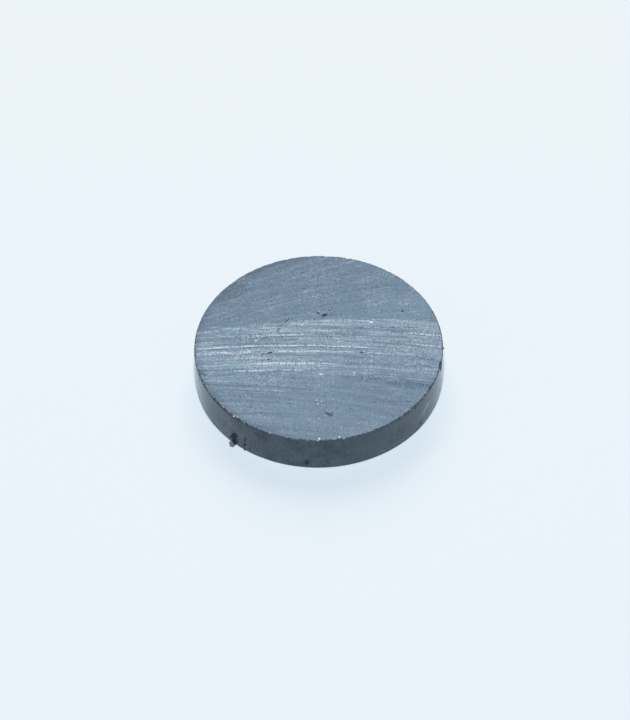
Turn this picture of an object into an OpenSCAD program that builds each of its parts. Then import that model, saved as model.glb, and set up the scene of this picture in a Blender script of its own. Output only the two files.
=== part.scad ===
// Disc magnet: one solid disc of pressed and sintered ferrite.
// Both pole faces are ground flat and parallel, the wall keeps the straight
// form of the press die, and both rims are slightly rounded by wear.
// The origin is the centre of the lower face, and +Z is the magnetic axis.

/* [Disc] */
// Diameter over the wall
disc_d = 18; // [8:0.5:60]
// Thickness between the two ground faces
disc_t = 3; // [1.5:0.25:12]

/* [Rims] */
// Radius worn on the upper rim
upper_rim_r = 0.06; // [0.02:0.01:0.5]
// Radius worn on the lower rim
lower_rim_r = 0.08; // [0.02:0.01:0.5]

/* [Hidden] */
$fn = 180;
wall_r = disc_d / 2;

// What a worn rim takes off a square corner at the origin, whose material
// lies towards -X and -Y: all that is outside an arc of radius r.
module worn_corner(r) {
    difference() {
        translate([-r, -r]) square(2 * r);
        translate([-r, -r]) circle(r);
    }
}

// One half of the disc's section, from the magnetic axis out to the wall.
module half_section() {
    difference() {
        square([wall_r, disc_t]);
        translate([wall_r, disc_t]) worn_corner(upper_rim_r);
        translate([wall_r, 0]) mirror([0, 1]) worn_corner(lower_rim_r);
    }
}

// The whole magnet, turned from its section.
module ferrite_disc() {
    color("slategray") rotate_extrude() half_section();
}

ferrite_disc();
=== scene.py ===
import math
import random

import bmesh
import bpy
from mathutils import Matrix, Vector, kdtree, noise


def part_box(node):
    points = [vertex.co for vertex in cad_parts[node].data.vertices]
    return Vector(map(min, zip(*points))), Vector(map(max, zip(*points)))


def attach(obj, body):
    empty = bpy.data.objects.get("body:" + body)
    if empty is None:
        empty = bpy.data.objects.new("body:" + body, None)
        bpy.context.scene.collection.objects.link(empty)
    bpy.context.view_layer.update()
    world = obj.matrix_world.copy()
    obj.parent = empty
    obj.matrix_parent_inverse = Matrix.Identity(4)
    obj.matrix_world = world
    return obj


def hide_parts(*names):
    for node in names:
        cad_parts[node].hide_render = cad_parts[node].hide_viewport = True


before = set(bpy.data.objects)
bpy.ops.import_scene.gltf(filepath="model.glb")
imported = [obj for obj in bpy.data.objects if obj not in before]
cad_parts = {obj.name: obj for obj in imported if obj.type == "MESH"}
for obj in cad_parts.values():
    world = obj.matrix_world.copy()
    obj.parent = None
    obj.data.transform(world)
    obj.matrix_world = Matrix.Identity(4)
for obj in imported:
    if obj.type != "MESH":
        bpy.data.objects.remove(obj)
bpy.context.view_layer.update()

# The camera: a long lens on a stand in front of the magnet, looking down on it
# at a little more than half a right angle, and rolled by one degree.
MM = 0.001
VIEW_ELEVATION = math.radians(48.15)
VIEW_ROLL = math.radians(1.08)
VIEW_DISTANCE = 360 * MM
VIEW_OFFSET = Vector((-0.28, 0.016, 0.018)) * MM      # from the magnet's middle
LENS_LENGTH = 248.6
low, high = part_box("ferrite_disc")
aim = (low + high) / 2 + VIEW_OFFSET

bpy.context.scene.view_settings.view_transform = "Standard"
camera_data = bpy.data.cameras.new("camera")
camera_data.lens = LENS_LENGTH
camera_data.clip_start = 10 * MM
camera = bpy.data.objects.new("camera", camera_data)
towards_camera = Vector((0, -math.cos(VIEW_ELEVATION), math.sin(VIEW_ELEVATION)))
camera.location = aim + towards_camera * VIEW_DISTANCE
upright = towards_camera.to_track_quat("Z", "Y").to_matrix()
camera.rotation_euler = (upright @ Matrix.Rotation(-VIEW_ROLL, 3, "Z")).to_euler()
bpy.context.scene.collection.objects.link(camera)
bpy.context.scene.camera = camera


# The magnet: one disc of hard ferrite, pressed in a die and sintered, with both
# pole faces ground flat afterwards. Its rims are worn and chipped all round, and
# the brittle faces are pitted. Sizes are in millimetres until the mesh is made.
DISC_R = (high.x - low.x) / 2 / MM
DISC_T = (high.z - low.z) / MM
UPPER_RIM_R = 0.06
LOWER_RIM_R = 0.08
FACE_CELLS = 232          # cells along each side of the grid that becomes a face
UNDERSIDE_CELLS = 58
UNDERSIDE_INSET = 0.1     # from the end of the lower rim to the border of that grid
UPPER_RIM_STEPS = 3
LOWER_RIM_STEPS = 2
WALL_ROWS = 28
random.seed(12)


def on_disc(u, v):
    """Where a point of a square with sides of 2 goes as the square becomes an even disc."""
    if u == 0 and v == 0:
        return Vector((0, 0, 0))
    if abs(u) > abs(v):
        reach, turn = u, math.pi / 4 * v / u
    else:
        reach, turn = v, math.pi / 2 - math.pi / 4 * u / v
    return Vector((reach * math.cos(turn), reach * math.sin(turn), 0))


def pole_face(mesh, cells, radius, height):
    """Adds a flat round face of even cells and returns its border."""
    grid = bmesh.ops.create_grid(mesh, x_segments=cells, y_segments=cells, size=1)["verts"]
    for vert in grid:
        vert.co = on_disc(vert.co.x, vert.co.y) * radius + Vector((0, 0, height))
    added = set(grid)
    return [edge for edge in mesh.edges if edge.is_boundary and edge.verts[0] in added]


def rim_arc(radius, steps):
    """Steps round a worn rim: how far each one lies inside of the wall and off the face."""
    for step in range(1, steps + 1):
        turn = math.pi / 2 * step / steps
        yield radius * (1 - math.sin(turn)), radius * (1 - math.cos(turn))


disc = bmesh.new()
hollow = disc.verts.layers.float.new("hollow")
border = pole_face(disc, FACE_CELLS, DISC_R - UPPER_RIM_R, DISC_T)
section = [(DISC_R - inside, DISC_T - off) for inside, off in rim_arc(UPPER_RIM_R, UPPER_RIM_STEPS)]
wall_top = DISC_T - UPPER_RIM_R
for row in range(1, WALL_ROWS + 1):      # the rows stand closer together near both rims
    even = row / WALL_ROWS
    share = (even + (1 - math.cos(math.pi * even)) / 2) / 2
    section.append((DISC_R, wall_top + (LOWER_RIM_R - wall_top) * share))
lower_arc = [(DISC_R - inside, off) for inside, off in rim_arc(LOWER_RIM_R, LOWER_RIM_STEPS)]
section += [(radius, height) for radius, height in reversed(lower_arc[:-1])]
section.append((DISC_R - LOWER_RIM_R, 0))
for radius, height in section:
    ring = bmesh.ops.extrude_edge_only(disc, edges=border)["geom"]
    for vert in [part for part in ring if isinstance(part, bmesh.types.BMVert)]:
        flat = vert.co.xy.normalized() * radius
        vert.co = Vector((flat.x, flat.y, height))
    border = [part for part in ring if isinstance(part, bmesh.types.BMEdge) and part.is_boundary]

# The underside is joined from a step below, since borders in one plane bridge crosswise.
underside = pole_face(disc, UNDERSIDE_CELLS, DISC_R - LOWER_RIM_R - UNDERSIDE_INSET, -1)
bmesh.ops.bridge_loops(disc, edges=border + underside)
for vert in disc.verts:
    vert.co.z = max(vert.co.z, 0)
bmesh.ops.recalc_face_normals(disc, faces=disc.faces)


def corner_order(face):
    """A number that goes up with the three first corners of a face."""
    first, second, third = sorted(vert.index for vert in face.verts)[:3]
    return (first * len(disc.verts) + second) * len(disc.verts) + third


# Extruding lists its faces in an order that changes from run to run.
disc.verts.index_update()
disc.faces.sort(key=corner_order)

# How the upper face was ground: the edge of a cup wheel crossed it in four passes,
# and each left furrows in arcs about the place where the wheel's middle stood. The
# wall keeps the upright drag marks of the die, and its top lip is worn back.
TOP_WHEEL = (19, -42)
UPPER_WHEEL = (11, -38)
MIDDLE_WHEEL = (-3.4, -63)
LOWER_WHEEL = (-11, -75)
BAND_EDGE = (3.0, -74.35)
BAND_EDGE_REACH = 77.0    # the middle pass ends in a sharp step, this far from that place
TOP_PASS_Y = 6.3          # the top pass went over what lies beyond this
LOWER_PASS_Y = -3.0       # and the lower one over what lies in front of this
FURROW_DEPTH = 0.014
FURROWS_PER_MM = 1.9
FURROW_FADE = 0.4         # the furrows die out over this width at the rim
DRAG_DEPTH = 0.007
DRAGS_PER_MM = 3.2
SWELL_DEPTH = 0.006
LIP_WEAR = 0.022
LIP_HEIGHT = 0.17
LIP_WANDER = 0.09


def furrow(x, y):
    """How deep the wheel cut at a place of the upper face."""
    if math.hypot(x - BAND_EDGE[0], y - BAND_EDGE[1]) < BAND_EDGE_REACH:
        wheel_x, wheel_y = MIDDLE_WHEEL if y > LOWER_PASS_Y else LOWER_WHEEL
    else:
        wheel_x, wheel_y = TOP_WHEEL if y > TOP_PASS_Y else UPPER_WHEEL
    reach = math.hypot(x - wheel_x, y - wheel_y)
    ridge = noise.fractal(Vector((x * 0.22, reach * FURROWS_PER_MM, 3.0)), 0.8, 2.0, 2)
    fade = min(1, (DISC_R - math.hypot(x, y)) / FURROW_FADE)
    return FURROW_DEPTH * fade * min(1, max(0, 0.5 + 0.5 * ridge))


for vert in disc.verts:
    x, y, z = vert.co
    if z > DISC_T - 0.001:
        vert.co.z -= furrow(x, y)
    if vert.co.xy.length > DISC_R - 0.2 and 0.02 < z:
        drag = noise.noise(Vector((x * DRAGS_PER_MM, y * DRAGS_PER_MM, z * 0.25)))
        swell = noise.fractal(vert.co * 1.1, 1.0, 2.0, 3)
        sunk_in = DRAG_DEPTH * max(0, 0.5 + 0.5 * drag) + SWELL_DEPTH * max(0, 0.5 + 0.5 * swell)
        lip = LIP_HEIGHT + LIP_WANDER * noise.noise(Vector((x * 1.3, y * 1.3, 8.0)))
        worn_back = LIP_WEAR * max(0, 1 - (DISC_T - z) / lip) ** 1.5
        vert.co.xy *= 1 - (sunk_in + worn_back) / DISC_R

# Wear on the magnet. Every mark is worked into the mesh with a ball tool: chips
# along both rims, pits and one scratch in the ground face, pores and nicks in the wall.
ROUGH_PER_MM = 7          # how fine the broken surface of a mark is
BALL_STEP = 0.3           # how far the ball goes at a time, as a share of the groove's width
found = kdtree.KDTree(len(disc.verts))
for index, vert in enumerate(disc.verts):
    found.insert(vert.co, index)
found.balance()
disc.verts.ensure_lookup_table()


def scoop(centre, radius, rough):
    """Pushes what lies inside of a ball out to the ball's surface, and notes how far it went."""
    for _, index, _ in found.find_range(centre, radius):
        vert = disc.verts[index]
        away = vert.co - centre
        depth = radius + rough * noise.noise(vert.co * ROUGH_PER_MM) - away.length
        if depth > 0:
            vert.co += away.normalized() * depth
            vert[hollow] = max(vert[hollow], depth)


def gouge(start, end, outward, width, depth):
    """Runs the ball tool along a short line, so that it cuts a groove of that width and depth."""
    ball = (width * width / 4 + depth * depth) / (2 * depth)
    steps = max(1, round((end - start).length / (BALL_STEP * width)))
    for step in range(steps + 1):
        along = step / steps
        taper = 0.6 + 0.4 * math.sin(math.pi * along) if steps > 1 else 1
        centre = start.lerp(end, along) + outward * (ball - depth * taper)
        scoop(centre, ball, 0.25 * depth)


def face_mark(x, y, length, tilt, width, depth):
    """A pit or scratch in the upper face: its middle, length, tilt from +X, width and depth."""
    middle = Vector((x, y, DISC_T))
    half = Vector((math.cos(math.radians(tilt)), math.sin(math.radians(tilt)), 0)) * length / 2
    gouge(middle - half, middle + half, Vector((0, 0, 1)), width, depth)


def wall_spot(azimuth, height):
    """A spot on the wall, and the way it faces. Azimuth 0 is the front, and +90 is +X."""
    turn = math.radians(azimuth)
    outward = Vector((math.sin(turn), -math.cos(turn), 0))
    return outward * DISC_R + Vector((0, 0, height)), outward


def wall_mark(azimuth, height, length, width, depth):
    """A pit or upright nick in the wall."""
    middle, outward = wall_spot(azimuth, height)
    half = Vector((0, 0, length / 2))
    gouge(middle - half, middle + half, outward, width, depth)


def rim_chip(azimuth, length, depth, lean, corner_z=DISC_T):
    """A shell-shaped chip on a rim. A lean of 0 takes it from the wall, and 90 from the face."""
    corner, outward = wall_spot(azimuth, corner_z)
    up = 1 if corner_z > DISC_T / 2 else -1
    turn = math.radians(lean)
    way = outward * math.cos(turn) + Vector((0, 0, up * math.sin(turn)))
    ball = (length * length / 4 + depth * depth) / (2 * depth)
    scoop(corner + way * (ball - depth), ball, 0.25 * depth)


PITS = [
    # x, y, length, tilt, width, depth
    (0.48, 3.07, 0.26, 25, 0.28, 0.10),
    (0.02, 3.28, 0.06, 0, 0.22, 0.06),
    (0.82, 3.55, 0.05, 0, 0.19, 0.05),
    (1.23, 3.05, 0.10, 60, 0.17, 0.04),
    (1.16, 4.55, 0.10, 20, 0.17, 0.04),
    (0.95, 4.05, 0.06, 0, 0.12, 0.03),
    (-3.52, -0.50, 0.36, 16, 0.20, 0.07),
    (-4.02, -0.60, 0.24, 52, 0.14, 0.05),
    (-3.64, -1.16, 0.10, 30, 0.20, 0.06),
    (0.66, -6.52, 0.44, -37, 0.38, 0.040),
    (3.07, -0.64, 0.20, -25, 0.22, 0.06),
    (6.14, 3.31, 0.05, 0, 0.20, 0.06),
    (7.09, 1.68, 0.16, 30, 0.14, 0.04),
    (6.34, -5.45, 0.26, -8, 0.16, 0.05),
    (2.18, -6.00, 0.10, 60, 0.18, 0.05),
    (4.16, -7.66, 0.10, 0, 0.18, 0.04),
    (5.20, -6.85, 0.16, 30, 0.18, 0.05),
    (-1.50, 7.30, 0.05, 0, 0.15, 0.04),
    (3.93, 7.20, 0.12, 15, 0.16, 0.04),
    (-6.00, -5.55, 0.08, 40, 0.16, 0.04),
    (-3.90, 6.40, 0.10, 20, 0.15, 0.03),
    (-8.26, -2.48, 0.34, -34, 0.14, 0.06),
    (-8.52, -2.45, 0.26, 29, 0.15, 0.07),
]
for pit in PITS:
    face_mark(*pit)
SCRATCH = [(-2.08, 2.80), (-2.40, 2.42), (-2.72, 1.98), (-3.02, 1.45)]
for (x0, y0), (x1, y1) in zip(SCRATCH, SCRATCH[1:]):
    length = math.hypot(x1 - x0, y1 - y0)
    tilt = math.degrees(math.atan2(y1 - y0, x1 - x0))
    face_mark((x0 + x1) / 2, (y0 + y1) / 2, length, tilt, 0.15, 0.045)
RIM_CHIPS = [
    # azimuth, length, depth, lean
    (-75.5, 0.50, 0.10, 50),
    (77.6, 0.80, 0.15, 10),
    (75.4, 0.50, 0.10, 25),
    (47.9, 0.60, 0.12, 50),
    (45.4, 0.30, 0.08, 40),
    (41.0, 0.34, 0.09, 45),
    (32.5, 0.45, 0.08, 60),
    (19.5, 0.40, 0.08, 60),
    (8.0, 0.30, 0.06, 50),
    (-27.5, 0.50, 0.08, 45),
    (-31.0, 0.55, 0.09, 45),
    (-36.5, 0.80, 0.09, 60),
    (-41.3, 0.45, 0.11, 45),
    (-54.0, 0.70, 0.10, 40),
    (-62.0, 0.50, 0.08, 40),
    (-50.5, 0.45, 0.13, 35),
    (-57.5, 0.40, 0.13, 50),
    (-65.5, 0.55, 0.08, 35),
    (-69.0, 0.35, 0.08, 55),
    (-16.0, 0.45, 0.06, 60),
    (146.0, 0.50, 0.07, 45),
    (158.0, 0.40, 0.06, 45),
    (-152.0, 0.45, 0.07, 40),
    (-163.0, 0.30, 0.05, 45),
]
for chip in RIM_CHIPS:
    rim_chip(*chip)
SMALL_CHIPS = 300
LOWER_CHIPS = 110
FACE_PORES = 150
for _ in range(SMALL_CHIPS):
    rim_chip(random.uniform(-180, 180), random.uniform(0.14, 0.45), random.uniform(0.04, 0.10),
             random.uniform(25, 75))
for _ in range(LOWER_CHIPS):
    rim_chip(random.uniform(-180, 180), random.uniform(0.15, 0.45), random.uniform(0.03, 0.08),
             random.uniform(20, 70), corner_z=0)
for _ in range(FACE_PORES):
    x, y, _z = on_disc(random.uniform(-1, 1), random.uniform(-1, 1)) * (DISC_R - 0.3)
    face_mark(x, y, 0, 0, random.uniform(0.10, 0.17), random.uniform(0.012, 0.03))
WALL_PITS = [
    # azimuth, height, length, width, depth
    (-6.4, 0.58, 0.04, 0.22, 0.12),
    (-28.5, 2.34, 0.20, 0.20, 0.03),
    (53.2, 0.54, 0.06, 0.26, 0.05),
    (51.3, 0.26, 0.10, 0.22, 0.04),
    (77.8, 2.60, 0.28, 0.56, 0.12),
    (48.8, 2.75, 0.10, 0.30, 0.07),
    (9.0, 1.40, 0.04, 0.13, 0.03),
    (24.0, 0.95, 0.04, 0.14, 0.03),
    (47.0, 0.15, 0.04, 0.18, 0.04),
    (-45.9, 1.70, 0.20, 0.30, 0.02),
]
for pit in WALL_PITS:
    wall_mark(*pit)
WALL_PORES = 200
WALL_NICKS = 70
for _ in range(WALL_PORES):
    wall_mark(random.uniform(-180, 180), random.uniform(0.2, 2.8), random.uniform(0, 0.12),
              random.uniform(0.09, 0.19), random.uniform(0.01, 0.035))
for _ in range(WALL_NICKS):
    wall_mark(random.uniform(-180, 180), random.uniform(0.2, 0.9), random.uniform(0.1, 0.35),
              random.uniform(0.09, 0.13), random.uniform(0.02, 0.04))
for face in disc.faces:
    face.smooth = True


def finished(shape, name):
    """Makes an object of a shape worked in millimetres, with its place in its mesh."""
    bmesh.ops.scale(shape, vec=(MM, MM, MM), verts=shape.verts)
    mesh = bpy.data.meshes.new(name)
    shape.to_mesh(mesh)
    shape.free()
    piece = bpy.data.objects.new(name, mesh)
    bpy.context.scene.collection.objects.link(piece)
    return piece


ground_disc = finished(disc, "ground_disc")
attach(ground_disc, "root")
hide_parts("ferrite_disc")


# The finish of the ferrite. The ground faces are blue grey and stippled, with the
# arcs of the wheel running over them and a brighter band across the middle, where
# the grinding is coarser and its grooves get a painted highlight. The wall keeps the
# dark satin skin of the fired blank, patchy in colour.
class Wire:
    """The output of a node. Arithmetic on it adds the Math nodes."""

    def __init__(self, finish, socket):
        self.finish = finish
        self.socket = socket

    def __add__(self, other):
        return self.finish.maths("ADD", self, other)

    def __sub__(self, other):
        return self.finish.maths("SUBTRACT", self, other)

    def __rsub__(self, other):
        return self.finish.maths("SUBTRACT", other, self)

    def __mul__(self, other):
        return self.finish.maths("MULTIPLY", self, other)

    def __gt__(self, other):
        return self.finish.maths("GREATER_THAN", self, other)

    def __lt__(self, other):
        return self.finish.maths("LESS_THAN", self, other)

    def __abs__(self):
        return self.finish.maths("ABSOLUTE", self, 0.0)

    __radd__ = __add__
    __rmul__ = __mul__

    def slope(self, start, end):
        """0 before start, 1 past end, and straight between. It falls where end is below start."""
        return self.finish.node("MapRange", None, {"Value": self, "From Min": start, "From Max": end})

    def ramp(self, start, end):
        """As slope, with a smooth rise, which stays within 0 and 1 unclamped."""
        return self.finish.node("MapRange", {"interpolation_type": "SMOOTHSTEP", "clamp": False},
                                {"Value": self, "From Min": start, "From Max": end})


class Finish:
    """The nodes of a material, or of the room, while they are being laid out."""

    def __init__(self, owner):
        owner.use_nodes = True
        self.tree = owner.node_tree

    def node(self, kind, settings=None, sockets=None, output=0):
        """Adds a node: its settings first, then the value or link of each socket."""
        node = self.tree.nodes.new("ShaderNode" + kind)
        for name, value in (settings or {}).items():
            setattr(node, name, value)
        for name, value in (sockets or {}).items():
            self.feed(next(s for s in node.inputs if s.identifier == name), value)
        return Wire(self, node.outputs[output])

    def feed(self, socket, value):
        if isinstance(value, Wire):
            self.tree.links.new(value.socket, socket)
        else:
            socket.default_value = value

    def maths(self, operation, first, second):
        return self.node("Math", {"operation": operation}, {"Value": first, "Value_001": second})

    def vector(self, operation, first, second=None, output=0, **more):
        """Vector Math. What gives one number, such as a length, has it as its output Value."""
        sockets = {"Vector": first, **more}
        if second is not None:
            sockets["Vector_001"] = second
        return self.node("VectorMath", {"operation": operation}, sockets, output)

    def place(self, x, y, z):
        return self.node("CombineXYZ", None, {"X": x, "Y": y, "Z": z})

    def split(self, place):
        x = self.node("SeparateXYZ", None, {"Vector": place})
        return [Wire(self, socket) for socket in x.socket.node.outputs]

    def blend(self, share, first, second):
        """From the first colour to the second as the share goes from 0 to 1."""
        return self.node("Mix", {"data_type": "RGBA"},
                         {"Factor_Float": share, "A_Color": first, "B_Color": second}, 2)

    def tint(self, share, tone, colour):
        """A tone multiplied by a colour, by a share from 0 to 1."""
        return self.node("Mix", {"data_type": "RGBA", "blend_type": "MULTIPLY"},
                         {"Factor_Float": share, "A_Color": tone, "B_Color": (*colour, 1)}, 2)

    def grain(self, place, scale, detail=2.0, roughness=0.5):
        """Even noise, 0 in the middle."""
        return self.node("TexNoise", None, {"Vector": place, "Scale": scale, "Detail": detail,
                                            "Roughness": roughness}) - 0.5

    def patch(self, place, middle, size, edge):
        """1 inside of an oval patch and 0 outside, with an edge that wanders by the grain given."""
        shrink = [2 / side for side in size]
        back = [-part * share for part, share in zip(middle, shrink)]
        local = self.vector("MULTIPLY_ADD", place, shrink, Vector_002=back)
        return (self.vector("LENGTH", local, output="Value") + edge).ramp(1.25, 0.45)

    def ready(self, name, **sockets):
        """Feeds a node that the tree starts with, and returns what it gives."""
        node = self.tree.nodes[name]
        for socket, value in sockets.items():
            self.feed(node.inputs[socket.replace("_", " ")], value)
        return Wire(self, node.outputs[0])

    def show(self, shader):
        """Makes this shader the one that is seen."""
        last = next(node for node in self.tree.nodes if node.type.startswith("OUTPUT"))
        self.feed(last.inputs["Surface"], shader)


ferrite_material = bpy.data.materials.new("ferrite")
ferrite = Finish(ferrite_material)
spot = ferrite.vector("SCALE", ferrite.node("TexCoord", output="Object"), Scale=1 / MM)
x_mm, _, z_mm = ferrite.split(spot)
is_upper = z_mm.ramp(DISC_T / 2 - 0.1, DISC_T / 2 + 0.1)
turned = ferrite.node("VectorRotate", {"rotation_type": "Z_AXIS"}, {"Vector": spot, "Angle": 1.2})
own_way_up = ferrite.node("Mix", {"data_type": "VECTOR"},
                          {"Factor_Float": is_upper, "A_Vector": turned, "B_Vector": spot}, 1)
flat = ferrite.vector("MULTIPLY", own_way_up, (1, 1, 0))
along, across, _ = ferrite.split(flat)
from_axis = ferrite.vector("LENGTH", flat, output="Value")

speck = ferrite.grain(spot, 10.0, 2.0, 0.6)
blotch = ferrite.grain(spot, 3.6, 2.0, 0.6)
clouds = ferrite.grain(spot, 0.5, 3.0, 0.55)
ragged = ferrite.grain(ferrite.place(along * 0.9, across * 3.0, 4.0), 1.0, 3.0)


def reach_from(middle):
    """How far the surface lies from where the middle of a wheel stood."""
    return ferrite.vector("DISTANCE", flat, (*middle, 0), output="Value")


LOWER_PASS_REACH = 60.4   # what lies nearer to the middle wheel was cut by the lower pass
BAND_FADES_IN = (59.6, 61.4)
middle_reach = reach_from(MIDDLE_WHEEL)
band_edge = reach_from(BAND_EDGE) + ragged * 0.5
in_band_and_highlight = band_edge.ramp(BAND_EDGE_REACH + 0.06, BAND_EDGE_REACH - 0.10)
in_band_and_highlight = in_band_and_highlight * (middle_reach - along * 0.11 + ragged * 2.0).ramp(*BAND_FADES_IN)
is_upper_pass = band_edge > BAND_EDGE_REACH
is_top_pass = (across + ragged * 3.0) > TOP_PASS_Y
is_lower_pass = (middle_reach + ragged * 1.5) < LOWER_PASS_REACH


def cut_lines(turn, per_mm, stretch, seed, detail):
    """Grinding lines, so many to the millimetre, in the direction of each pass plus a small turn."""
    reach = reach_from((MIDDLE_WHEEL[0] + turn, MIDDLE_WHEEL[1]))
    for is_pass, wheel in ((is_lower_pass, LOWER_WHEEL), (is_upper_pass, UPPER_WHEEL),
                           (is_upper_pass * is_top_pass, TOP_WHEEL)):
        other = reach_from((wheel[0] + turn, wheel[1]))
        reach = reach + is_pass * (other - reach)
    return ferrite.grain(ferrite.place(along * stretch, reach * per_mm, seed), 1.0, detail)


coarse_cut = cut_lines(turn=0.0, per_mm=2.9, stretch=0.11, seed=1.0, detail=3.0)
fine_cut = cut_lines(turn=1.0, per_mm=7.0, stretch=0.55, seed=2.0, detail=2.0)
broken = 1 + speck * 3.0
flecks = speck * abs(speck) * 8.0


def dots(per_mm, seed, share):
    """Small round dots, at most one to a cell, in about that share of the cells."""
    cells = ferrite.node("TexVoronoi", {"voronoi_dimensions": "2D"},
                         {"Vector": ferrite.vector("ADD", flat, (seed, seed, 0)), "Scale": per_mm})
    colour = Wire(ferrite, cells.socket.node.outputs["Color"])
    present, size, _ = ferrite.split(colour)
    return (cells - size * 0.10).ramp(0.13, 0.03) * (present < share)


dark_dots = dots(per_mm=2.6, seed=40.0, share=0.45)
light_dots = dots(per_mm=2.2, seed=70.0, share=0.45)
crowded = clouds.ramp(-0.12, 0.14)
thick = ferrite.grain(ferrite.place(along * 0.35, middle_reach * 1.1, 30.0), 1.0, 2.0).ramp(-0.10, 0.10)
in_low_left = is_lower_pass * along.ramp(1.0, -3.0)

# Single deep strokes of each pass: bright where the strength is above 0, and dark below.
# The bright ones are partly painted highlight of grooves that catch the light.
STROKES = [
    # reach from the wheel, rise to the right, from x, to x, width, strength
    (63.16, 0.000, -9.0, 3.3, 0.095, 1.12),
    (63.18, 0.012, 3.3, 7.8, 0.050, 0.50),
    (63.02, 0.004, -9.0, 4.5, 0.070, -0.60),
    (62.62, 0.000, -9.0, -4.9, 0.175, 1.00),
    (62.62, 0.000, -3.0, 0.5, 0.095, 0.90),
    (62.67, 0.015, 0.9, 6.2, 0.060, 0.60),
    (62.44, 0.000, -8.5, -5.0, 0.050, -0.40),
    (61.44, 0.000, -4.9, -0.5, 0.125, 2.30),
    (61.48, 0.000, -8.6, -4.9, 0.060, 0.36),
    (61.46, 0.000, -0.5, 1.0, 0.075, 0.80),
    (60.81, 0.000, -6.6, -3.2, 0.110, 0.90),
    (60.79, 0.000, -2.8, -1.2, 0.090, 0.75),
    (61.02, 0.000, -9.0, -7.4, 0.070, -1.00),
    (60.46, 0.012, -0.7, 8.4, 0.050, 0.50),
    (64.14, 0.018, -5.0, -0.3, 0.105, 0.75),
    (63.95, 0.022, -5.0, 1.5, 0.090, -0.50),
    (63.75, 0.000, -4.9, -4.4, 0.070, 0.80),
    (63.74, 0.000, -8.7, -7.6, 0.060, 0.50),
    (64.62, 0.000, -0.6, 0.9, 0.080, 0.50),
    (64.92, 0.000, -6.2, -5.4, 0.070, 0.50),
    (64.92, 0.000, -4.1, -2.9, 0.085, 0.60),
    (64.74, 0.000, -7.6, -6.9, 0.070, 0.50),
    (65.22, 0.010, -2.2, 2.2, 0.130, 0.26),
    (65.52, 0.040, -1.4, 4.0, 0.120, 0.42),
    (64.94, 0.020, 6.5, 8.8, 0.120, 0.85),
    (63.87, 0.040, 6.8, 8.8, 0.090, 0.90),
    (63.35, 0.030, 6.8, 8.0, 0.060, 0.50),
    (65.05, 0.100, 2.8, 7.0, 0.060, -0.50),
    (64.35, 0.090, 5.0, 8.2, 0.060, -0.40),
    (60.24, 0.000, 1.6, 4.6, 0.130, -0.35),
    (59.98, 0.030, 4.8, 8.0, 0.210, -0.26),
    (65.15, 0.020, -8.0, -7.1, 0.070, 0.50),
    (64.95, 0.010, -7.0, -6.6, 0.080, 0.45),
]
UPPER_STROKES = [
    (46.53, 0.010, -2.2, 0.0, 0.070, 0.40),
    (46.79, 0.124, 0.1, 2.8, 0.070, 0.50),
    (46.51, 0.010, 2.8, 4.2, 0.070, 0.40),
    (46.36, 0.010, -2.0, 3.2, 0.070, -0.22),
    (45.58, 0.020, 2.0, 4.9, 0.070, 0.32),
    (45.23, -0.050, -8.4, -6.2, 0.080, 0.40),
    (45.01, -0.096, -6.0, -2.5, 0.070, 0.36),
    (44.93, 0.030, -1.1, 1.3, 0.080, 0.42),
    (44.73, 0.000, -0.5, 2.9, 0.070, -0.32),
    (44.30, 0.015, -5.0, -1.5, 0.060, 0.25),
    (44.21, 0.020, 1.5, 5.3, 0.070, -0.36),
    (44.06, 0.000, 1.6, 6.8, 0.060, 0.36),
]
LOWER_STROKES = [
    (72.81, 0.000, -8.2, -6.6, 0.070, 0.30),
    (72.43, 0.000, -6.8, -4.3, 0.070, 0.38),
    (72.43, 0.000, -2.5, 0.6, 0.060, 0.32),
    (72.26, 0.000, -5.8, 0.3, 0.060, -0.34),
    (71.78, 0.000, -4.7, -0.9, 0.080, 0.46),
    (71.76, 0.030, 0.6, 2.2, 0.070, 0.32),
    (71.64, 0.000, -4.2, -0.9, 0.060, -0.34),
    (71.55, 0.000, -6.9, -4.2, 0.080, -0.46),
    (71.27, 0.000, -7.2, -2.4, 0.080, 0.50),
    (71.13, 0.000, -7.2, -3.9, 0.060, -0.44),
    (71.01, 0.000, -7.1, -4.0, 0.060, 0.40),
    (70.53, 0.000, -2.7, -1.6, 0.060, -0.28),
    (69.25, 0.000, -5.4, -3.4, 0.100, 0.34),
    (69.07, 0.000, -4.8, -3.0, 0.060, -0.40),
]
chatter = ferrite.grain(ferrite.place(along * 7.5, across * 2.0, 9.0), 1.0, 1.0, 0.6)
pressure = ferrite.grain(ferrite.place(along * 0.9, across * 1.6, 50.0), 1.0, 1.0)
beads = (chatter + pressure * 0.55).ramp(-0.08, 0.10)
wobble = ferrite.grain(spot, 0.45, 1.0) * 0.10


def drawn(wheel, strokes):
    """The strokes of one pass, each laid along its arc."""
    drawing = 0.0
    from_wheel = reach_from(wheel) + wobble
    for reach, rise, start, end, width, strength in strokes:
        off = abs(from_wheel - reach - (along - start) * rise)
        stretch = along.ramp(start - 0.3, start + 0.4) * along.ramp(end + 0.4, end - 0.3)
        drawing = drawing + off.ramp(width * 1.15, width * 0.3) * stretch * strength
    return drawing


strokes = drawn(UPPER_WHEEL, UPPER_STROKES) + drawn(LOWER_WHEEL, LOWER_STROKES)
strokes = strokes * (0.10 + beads * 0.45) + drawn(MIDDLE_WHEEL, STROKES) * (0.12 + beads * 0.88)
strokes = strokes * is_upper
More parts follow.
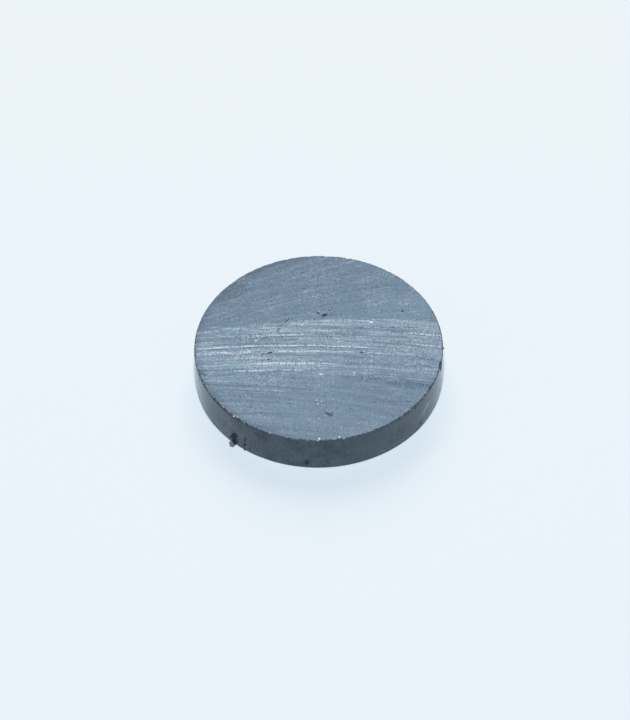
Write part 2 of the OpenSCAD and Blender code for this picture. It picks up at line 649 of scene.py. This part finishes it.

# Painted glints: lone grains that lie flat and throw the light back, painted into the colour.
PAINTED_GLINTS = [
    # x, y, across, brightness
    (3.86, 2.28, 0.20, 1.0),
    (-1.20, 2.18, 0.15, 0.7),
    (-4.50, 0.68, 0.14, 0.6),
    (-5.60, -0.50, 0.14, 0.4),
    (0.10, -2.66, 0.16, 0.75),
    (2.52, -2.60, 0.14, 0.8),
    (2.50, -2.80, 0.12, 0.5),
    (-0.14, -5.50, 0.14, 0.7),
    (-0.20, -5.15, 0.12, 0.6),
    (0.12, -5.28, 0.12, 0.4),
    (-0.07, -8.80, 0.17, 0.9),
    (1.36, -8.66, 0.15, 0.8),
    (-6.14, -6.50, 0.13, 0.8),
    (-5.86, -6.62, 0.12, 0.4),
    (-8.10, -1.90, 0.12, 0.4),
    (1.45, 0.45, 0.12, 0.5),
    (-3.70, -1.55, 0.14, 0.7),
    (7.90, 1.62, 0.12, 0.5),
    (-0.10, -6.90, 0.12, 0.5),
]
painted_glint = 0.0
for glint_x, glint_y, size, brightness in PAINTED_GLINTS:
    off = ferrite.vector("DISTANCE", flat, (glint_x, glint_y, 0), output="Value") + speck * 0.12
    painted_glint = painted_glint + off.ramp(size * 0.62, size * 0.2) * brightness
painted_glint = painted_glint * z_mm.ramp(DISC_T - 0.15, DISC_T - 0.06)

# The tone of the ground faces goes by one shade, to which the stipple, the cut lines,
# the strokes and the dots all add: light above 0, and dark below. The light end is
# partly painted highlight of grains and grooves that catch the light.
stipple = speck * 0.9 + flecks * 0.8 + blotch * 0.55
roughened = 0.52 + is_upper_pass * 0.10 + crowded * 0.30 + in_band_and_highlight * (0.24 + thick * 0.80)
# Painted highlight: the band is lifted as a whole, for grooves that catch the light.
shade = in_band_and_highlight * 0.16 + clouds * 0.25 + stipple * roughened
shade = shade - across * is_upper * 0.003
shade = shade + coarse_cut * broken * (0.30 + crowded * 0.25 + in_band_and_highlight * 0.53 + in_low_left * 0.10)
shade = shade + fine_cut * broken * (0.30 + in_band_and_highlight * 0.55)
shade = shade + strokes * 0.90 + (light_dots * 0.24 - dark_dots * 0.30) * (0.4 + crowded * 0.6)
GROUND = (0.152, 0.230, 0.309, 1)
CUT_LIGHT_AND_HIGHLIGHT = (0.56, 0.67, 0.79, 1)
CUT_DARK = (0.035, 0.065, 0.100, 1)
GROUND_PINK = (1.04, 0.985, 1.02)      # what the tone is multiplied by where it leans that way
GROUND_GREEN = (0.965, 1.015, 0.99)
RIM_SHADE = (0.77, 0.78, 0.79)
ground_tone = ferrite.blend(shade.slope(0.0, 1.0), GROUND, CUT_LIGHT_AND_HIGHLIGHT)
ground_tone = ferrite.blend(shade.slope(0.0, -0.55), ground_tone, CUT_DARK)
hue = ferrite.grain(ferrite.vector("ADD", spot, (30, 0, 0)), 0.7, 2.0, 0.5)
ground_tone = ferrite.tint(hue.ramp(0.02, 0.20), ground_tone, GROUND_PINK)
ground_tone = ferrite.tint(hue.ramp(-0.02, -0.20), ground_tone, GROUND_GREEN)

FACE_STAINS_AND_SHADE = [
    # x, y, length, breadth, tilt, strength, what the tone is multiplied by
    (-6.15, 5.45, 3.0, 1.5, 45, 1.0, (0.78, 0.76, 0.76)),
    (-4.55, 7.25, 1.6, 0.7, 45, 0.7, (0.88, 0.86, 0.86)),
    (0.60, 8.40, 2.4, 0.9, 0, 0.8, (0.97, 0.90, 1.03)),
    (6.50, -3.85, 2.6, 0.9, -10, 0.8, (0.74, 0.78, 0.80)),
    (3.50, -3.05, 2.4, 0.7, -10, 0.8, (0.82, 0.84, 0.86)),
    (7.90, 3.80, 1.6, 3.4, 0, 0.9, (1.08, 1.10, 1.09)),
    (1.50, 0.70, 7.0, 3.6, 0, 0.8, (1.11, 1.11, 1.09)),
    (4.80, 3.50, 6.4, 3.6, 15, 0.8, (1.10, 1.12, 1.11)),
    (5.40, 0.05, 7.0, 1.2, 0, 0.9, (0.86, 0.89, 0.90)),
    (1.50, -2.30, 5.0, 1.8, 0, 0.8, (1.11, 1.11, 1.10)),
    (-8.10, -0.50, 2.0, 1.8, 0, 0.9, (1.14, 1.12, 1.11)),
    (-6.30, 1.90, 2.2, 1.8, 0, 0.8, (0.86, 0.94, 0.93)),
    (7.60, -1.60, 2.2, 1.8, 0, 0.8, (0.90, 0.93, 0.94)),
    (5.00, -5.90, 3.6, 2.2, -10, 0.8, (0.95, 0.89, 0.90)),
    (-2.60, -6.00, 4.6, 3.2, -10, 0.7, (1.07, 1.06, 1.08)),
    (-5.80, -2.50, 3.0, 2.4, -10, 0.8, (0.92, 0.97, 0.97)),
    (-1.80, 7.80, 2.6, 1.4, 0, 0.8, (0.91, 0.91, 0.88)),
    (2.00, 7.90, 2.0, 1.6, 0, 0.7, (1.09, 1.06, 1.05)),
    (-3.60, 4.00, 3.6, 2.2, 15, 0.8, (1.06, 1.04, 1.02)),
    # Painted shade: a darker patch round the long pit in front.
    (0.66, -6.52, 0.80, 0.44, -37, 0.9, (0.52, 0.57, 0.62)),
]
leaning = {}              # the place on the face, turned by each tilt that is used
for x, y, length, breadth, tilt, strength, colour in FACE_STAINS_AND_SHADE:
    lean = Matrix.Rotation(math.radians(tilt), 3, "Z")
    if tilt not in leaning:
        lengthwise = ferrite.vector("DOT_PRODUCT", flat, lean.col[0], output="Value")
        crosswise = ferrite.vector("DOT_PRODUCT", flat, lean.col[1], output="Value")
        leaning[tilt] = ferrite.place(lengthwise, crosswise, 0.0)
    middle = lean.transposed() @ Vector((x, y, 0))
    patch = ferrite.patch(leaning[tilt], middle, (length, breadth, 2), blotch * 1.5)
    ground_tone = ferrite.tint(patch * is_upper * strength, ground_tone, colour)
# Painted shade: the upper face darkens within about half a millimetre of its rim on the left.
left_rim_shade = (from_axis + blotch * 0.8).ramp(DISC_R - 0.65, DISC_R - 0.20) * along.ramp(0.5, -2.0)
ground_tone = ferrite.tint(left_rim_shade * is_upper, ground_tone, RIM_SHADE)

# The skin of the wall: dark and patchy, with upright drag marks, and stained in places.
# Some of its patches are painted shade, on both sides and in a chip and a pore.
drag_marks = ferrite.grain(ferrite.vector("MULTIPLY", spot, (4.5, 4.5, 0.45)), 1.0, 3.0, 0.6)
skin_patches = ferrite.grain(spot, 0.8, 4.0, 0.6)
skin_grain = drag_marks * 0.6 + speck * 2.0 + blotch * 1.5
grainier_aside = 0.6 + abs(x_mm + 1.0).ramp(2.5, 6.0) * 0.5
skin_shade = skin_patches * 1.5 + skin_grain * grainier_aside - z_mm * 0.05 + 0.11
SKIN = (0.034, 0.061, 0.089, 1)
SKIN_LIGHT = (0.085, 0.125, 0.160, 1)
SKIN_DARK = (0.008, 0.018, 0.030, 1)
SKIN_PINK = (1.07, 0.93, 1.09)
SKIN_GREEN = (0.87, 1.06, 0.95)
skin_tone = ferrite.blend(skin_shade.slope(0.0, 0.6), SKIN, SKIN_LIGHT)
skin_tone = ferrite.blend(skin_shade.slope(0.0, -0.6), skin_tone, SKIN_DARK)
skin_hue = hue - x_mm * 0.010 - 0.01
skin_tone = ferrite.tint(skin_hue.ramp(0.02, 0.20), skin_tone, SKIN_PINK)
skin_tone = ferrite.tint(skin_hue.ramp(-0.02, -0.20), skin_tone, SKIN_GREEN)
WALL_STAINS_AND_SHADE = [
    # azimuth, height, length, breadth, tone, strength
    (-28.5, 2.32, 1.0, 0.9, (0.006, 0.014, 0.034, 1), 1.0),
    (-30.5, 1.70, 2.2, 1.4, (0.046, 0.056, 0.082, 1), 0.55),
    (-46.0, 1.75, 0.5, 0.7, (0.110, 0.130, 0.150, 1), 0.60),
    (44.9, 1.10, 0.6, 0.6, (0.050, 0.045, 0.085, 1), 0.60),
    (59.2, 1.60, 0.6, 0.7, (0.300, 0.370, 0.395, 1), 0.90),
    (57.4, 1.42, 0.6, 0.6, (0.300, 0.370, 0.395, 1), 0.90),
    (55.8, 1.28, 0.6, 0.5, (0.260, 0.330, 0.350, 1), 0.85),
    (53.4, 1.20, 1.1, 0.3, (0.170, 0.225, 0.240, 1), 0.65),
    (46.9, 0.16, 0.2, 0.2, (0.200, 0.240, 0.260, 1), 0.60),
    (44.7, 0.19, 0.2, 0.2, (0.180, 0.220, 0.240, 1), 0.50),
    (24.0, 1.90, 4.0, 2.4, (0.044, 0.080, 0.102, 1), 0.55),
    (52.9, 0.52, 1.3, 0.8, (0.008, 0.019, 0.033, 1), 0.65),
    (50.6, 0.24, 1.4, 0.6, (0.008, 0.019, 0.033, 1), 0.65),
    (23.7, 1.45, 0.3, 0.4, (0.090, 0.120, 0.140, 1), 0.55),
    (28.0, 1.55, 0.5, 0.3, (0.090, 0.120, 0.140, 1), 0.50),
    (36.2, 1.30, 0.2, 1.2, (0.085, 0.115, 0.135, 1), 0.50),
    (46.5, 2.00, 0.4, 0.3, (0.012, 0.020, 0.030, 1), 0.50),
    # Painted shade: darker, bluer patches high on both sides, where the wall is seen nearly edge on.
    (-68.0, 2.50, 3.4, 1.3, (0.012, 0.044, 0.078, 1), 0.65),
    (63.0, 2.50, 4.0, 1.3, (0.010, 0.040, 0.080, 1), 0.65),
    (18.0, 0.50, 3.6, 1.0, (0.048, 0.078, 0.108, 1), 0.60),
    (42.0, 0.55, 2.6, 1.0, (0.060, 0.092, 0.128, 1), 0.60),
    # Painted shade: a darker patch at mid height on the left side.
    (-62.0, 1.30, 3.4, 2.2, (0.007, 0.034, 0.072, 1), 0.60),
    (-55.5, 2.40, 2.4, 0.9, (0.034, 0.085, 0.130, 1), 0.55),
    # Painted shade: a darker, less red patch on the right side.
    (50.0, 1.50, 4.0, 2.4, (0.022, 0.054, 0.088, 1), 0.50),
    (37.0, 2.40, 3.0, 1.0, (0.046, 0.094, 0.120, 1), 0.50),
    (25.0, 1.40, 2.4, 1.1, (0.054, 0.084, 0.112, 1), 0.50),
    (21.0, 0.55, 3.0, 0.9, (0.052, 0.082, 0.112, 1), 0.50),
    (-38.5, 0.60, 2.4, 1.0, (0.054, 0.084, 0.108, 1), 0.50),
    # Painted shade in the big chip at the right and in the pore low on the front.
    (77.8, 2.70, 0.95, 0.85, (0.010, 0.016, 0.026, 1), 0.90),
    (-6.4, 0.58, 0.4, 0.4, (0.010, 0.016, 0.022, 1), 0.6),
    # Painted shade: darker, bluer patches at mid height on both sides.
    (67.0, 1.10, 4.0, 2.4, (0.012, 0.042, 0.085, 1), 0.60),
    (-67.0, 1.00, 3.0, 2.0, (0.012, 0.042, 0.085, 1), 0.50),
]
for azimuth, height, length, breadth, colour, strength in WALL_STAINS_AND_SHADE:
    middle, _outward = wall_spot(azimuth, height)
    patch = ferrite.patch(spot, middle, (length, length, breadth), blotch * 2.0)
    skin_tone = ferrite.blend(patch * strength, skin_tone, colour)

# The ground finish stops at a ragged line just inside of each rim.
rag = ferrite.grain(spot, 5.0, 3.0, 0.6)
upper_ground = (z_mm + rag * 0.05).ramp(DISC_T - 0.045, DISC_T - 0.020)
lower_ground = (z_mm - rag * 0.05).ramp(0.045, 0.020)
inside_rim = (from_axis + rag * 0.45).ramp(DISC_R - 0.03, DISC_R - 0.08)
is_ground = ferrite.maths("MAXIMUM", upper_ground, lower_ground) * inside_rim
worn = ferrite.node("Attribute", {"attribute_name": "hollow"}, output="Fac")
sunk = worn.ramp(0.006, 0.03)
on_rim = from_axis.ramp(DISC_R - 0.25, DISC_R - 0.10) * is_upper
# Painted highlight: light patches on some chips of the upper rim, as facets catching the light.
chip_highlight = sunk * on_rim * blotch.ramp(0.04, 0.14)
# In pits and chips the tone goes dark: partly the dark of unground ferrite, partly painted shade in the
# hollow.
hollow_dark_and_shade = sunk * (0.85 - on_rim * worn.ramp(0.10, 0.04) * 0.40)
lip_shade = (z_mm + rag * 0.9 + blotch * 0.6).ramp(DISC_T - 0.36, DISC_T - 0.14)
lip_shade = lip_shade * (0.06 + abs(along).ramp(4.5, 7.0) * 0.26)
LIP_DARK = (0.010, 0.020, 0.034, 1)
HOLLOW_DARK_AND_SHADE = (0.016, 0.028, 0.042, 1)
CHIP_HIGHLIGHT = (0.30, 0.38, 0.46, 1)
GLINT = (0.88, 0.94, 1.0, 1)
skin_tone = ferrite.blend(lip_shade, skin_tone, LIP_DARK)
tone = ferrite.blend(is_ground, skin_tone, ground_tone)
tone = ferrite.blend(hollow_dark_and_shade, tone, HOLLOW_DARK_AND_SHADE)
tone = ferrite.blend(chip_highlight * 0.8, tone, CHIP_HIGHLIGHT)
# Painted glints: near-white spots put into the colour.
tone = ferrite.blend(painted_glint, tone, GLINT)

skin_rough = 0.20 + skin_patches * 0.25 + drag_marks * 0.15 + lip_shade * 0.35
ground_rough = 0.50 + coarse_cut * 0.25 + speck * 0.2
rough = is_ground * ground_rough + (1 - is_ground) * skin_rough + sunk * 0.4

ground_height = (coarse_cut + fine_cut * 0.6 + speck * 0.5) * 0.010
skin_height = speck * 0.003 + blotch * 0.005 + drag_marks * 0.004
height = is_ground * ground_height + (1 - is_ground) * skin_height
bump = ferrite.node("Bump", None, {"Strength": 1.0, "Distance": MM, "Height": height})
ferrite.ready("Principled BSDF", Base_Color=tone, Roughness=rough, Normal=bump, IOR=1.45,
              Sheen_Weight=0.19, Sheen_Roughness=0.25, Sheen_Tint=(0.30, 0.62, 1.0, 1))
ground_disc.data.materials.append(ferrite_material)


# Grit that the magnet holds: crumbs of its own dark dust, which cling to the wall by
# their own pull. Most are at the left of the front, with a paler tuft that leans out.
# One lies in a pit low on the front, and one on the rim at the right.
CRUMB_LUMPINESS = 0.45
CRUMB_FLOOR = 0.01        # no crumb reaches lower than this
CRUMBS = [
    # azimuth, height, out of the wall, size, stretched up
    (-43.4, 0.98, 0.03, 0.12, 1.2),
    (-42.6, 0.84, 0.05, 0.11, 1.0),
    (-44.2, 0.74, 0.07, 0.13, 1.1),
    (-43.2, 0.62, 0.03, 0.06, 1.0),
    (-44.0, 0.50, 0.04, 0.06, 1.3),
    (-43.0, 0.40, 0.03, 0.06, 1.0),
    (-42.9, 0.22, 0.03, 0.06, 1.0),
    (-42.4, 0.13, 0.03, 0.05, 0.9),
    (-36.5, 1.30, 0.01, 0.05, 1.4),
    (-36.7, 1.14, 0.01, 0.05, 1.3),
    (-37.2, 0.58, 0.03, 0.08, 1.0),
    (-37.0, 0.92, 0.00, 0.03, 1.4),
    (-33.9, 0.55, 0.03, 0.05, 0.8),
    (-6.5, 0.58, 0.00, 0.12, 0.9),
    (-37.0, 0.10, 0.03, 0.05, 0.9),
    (-43.4, 0.16, 0.14, 0.11, 0.9),
    (-43.9, 0.18, 0.26, 0.11, 1.1),
    (-42.6, 0.11, 0.24, 0.10, 0.9),
    (-44.7, 0.12, 0.20, 0.09, 0.8),
    (-43.4, 0.08, 0.34, 0.08, 0.8),
    (88.0, 2.90, 0.01, 0.055, 1.0),
]
grit = bmesh.new()
for index, (azimuth, height, out, size, stretched) in enumerate(CRUMBS):
    surface, outward = wall_spot(azimuth, height)
    crumb = bmesh.ops.create_icosphere(grit, subdivisions=3, radius=size)["verts"]
    for vert in crumb:
        lumps = noise.fractal(vert.co * 9 + Vector((index * 5, 0, 0)), 0.7, 2.0, 3)
        vert.co *= 1 + CRUMB_LUMPINESS * lumps
        vert.co.z *= stretched
    bmesh.ops.translate(grit, verts=crumb, vec=surface + outward * out)
for vert in grit.verts:
    vert.co.z = max(vert.co.z, CRUMB_FLOOR)
clinging_grit = finished(grit, "clinging_grit")
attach(clinging_grit, "root")

DUST_DARK = (0.008, 0.014, 0.018, 1)
DUST_LIGHT = (0.05, 0.075, 0.085, 1)
TUFT_GREY = (0.17, 0.21, 0.24, 1)
dust_material = bpy.data.materials.new("dust")
dust = Finish(dust_material)
dust_spot = dust.vector("SCALE", dust.node("TexCoord", output="Object"), Scale=1 / MM)
_, _, dust_z = dust.split(dust_spot)
dust_from_axis = dust.vector("LENGTH", dust.vector("MULTIPLY", dust_spot, (1, 1, 0)), output="Value")
dust_grain = dust.grain(dust_spot, 9.0, 3.0, 0.6)
dust_tone = dust.blend(dust_grain.slope(-0.2, 0.25), DUST_DARK, DUST_LIGHT)
leans_out = (dust_from_axis + dust_grain * 0.3).ramp(DISC_R + 0.08, DISC_R + 0.20)
dust_tone = dust.blend(leans_out * dust_z.ramp(0.45, 0.30), dust_tone, TUFT_GREY)
dust.ready("Principled BSDF", Base_Color=dust_tone, Roughness=0.75 + dust_grain * 0.3,
           Specular_IOR_Level=0.2,
           Normal=dust.node("Bump", None, {"Distance": MM, "Height": dust_grain * 0.03}))
clinging_grit.data.materials.append(dust_material)


# The bench top: a wide board, painted pale and matt, that the magnet lies on. Its
# colour is painted a little lighter behind, as painted light where the lamps' light falls
# off, and it fades out into the pale room well before its border.
BOARD_HALF = 4000         # in millimetres, as a shape is until it is finished
BOARD_NEAR = (0.812, 0.878, 0.925, 1)
BOARD_FAR = (0.858, 0.930, 0.980, 1)
BOARD_FADES_OUT = (60 * MM, 160 * MM)
board = bmesh.new()
bmesh.ops.create_grid(board, x_segments=8, y_segments=8, size=BOARD_HALF)
bench_top = finished(board, "bench_top")
board_material = bpy.data.materials.new("pale_board")
paint = Finish(board_material)
board_spot = paint.node("TexCoord", output="Object")
board_cloud = paint.grain(board_spot, 40.0, 2.0)
_, board_depth, _ = paint.split(board_spot)
painted_light_behind = (board_depth + board_cloud * 10 * MM).slope(-35 * MM, 35 * MM)
painted = paint.ready("Principled BSDF", Base_Color=paint.blend(painted_light_behind, BOARD_NEAR, BOARD_FAR),
                      Roughness=0.85, Specular_IOR_Level=0.1)
fade = paint.vector("LENGTH", board_spot, output="Value").ramp(*BOARD_FADES_OUT)
paint.show(paint.node("MixShader", None, {"Fac": fade, "Shader": painted,
                                          "Shader_001": paint.node("BsdfTransparent")}))
bench_top.data.materials.append(board_material)


# The room and the lamps. The room glows white on the magnet, but is seen, mirrored or
# looked through as pale. A narrow soft lamp hangs overhead on the near side. A wide
# weak warm one stands behind, and its low light throws the short shadow forwards.
WHITE = (1.0, 1.0, 1.0, 1)
PALE = (0.835, 0.905, 0.955, 1)
GLOW_STRENGTH = 0.1
COOL_LIGHT = (0.88, 0.945, 1.0)
WARM_LIGHT = (1.0, 0.76, 0.57)
world = bpy.data.worlds.new("room")
bpy.context.scene.world = world
room = Finish(world)
glow = room.ready("Background", Color=WHITE, Strength=GLOW_STRENGTH)
pale_room = room.node("Background", None, {"Color": PALE})
is_seen = room.node("LightPath", output="Is Camera Ray")
for way in ("Is Glossy Ray", "Is Transmission Ray"):
    is_seen = room.maths("MAXIMUM", is_seen, room.node("LightPath", output=way))
room.show(room.node("MixShader", None, {"Fac": is_seen, "Shader": glow, "Shader_001": pale_room}))


def soft_lamp(name, place, width, height, power, colour):
    """A soft box that faces the magnet. Its place, width and height are in metres."""
    data = bpy.data.lights.new(name, "AREA")
    data.shape = "RECTANGLE"
    data.size = width
    data.size_y = height
    data.energy = power
    data.color = colour
    lamp = bpy.data.objects.new(name, data)
    lamp.location = Vector(place)
    lamp.rotation_euler = lamp.location.to_track_quat("Z", "Y").to_euler()
    bpy.context.scene.collection.objects.link(lamp)
    return lamp


soft_lamp("main_lamp", place=(0.0, -0.22, 0.62), width=0.07, height=0.3, power=3.7,
          colour=COOL_LIGHT)
back_lamp = soft_lamp("back_lamp", place=(0.0, 0.52, 0.40), width=0.5, height=0.5, power=1.66,
                      colour=WARM_LIGHT)
back_lamp.visible_glossy = False
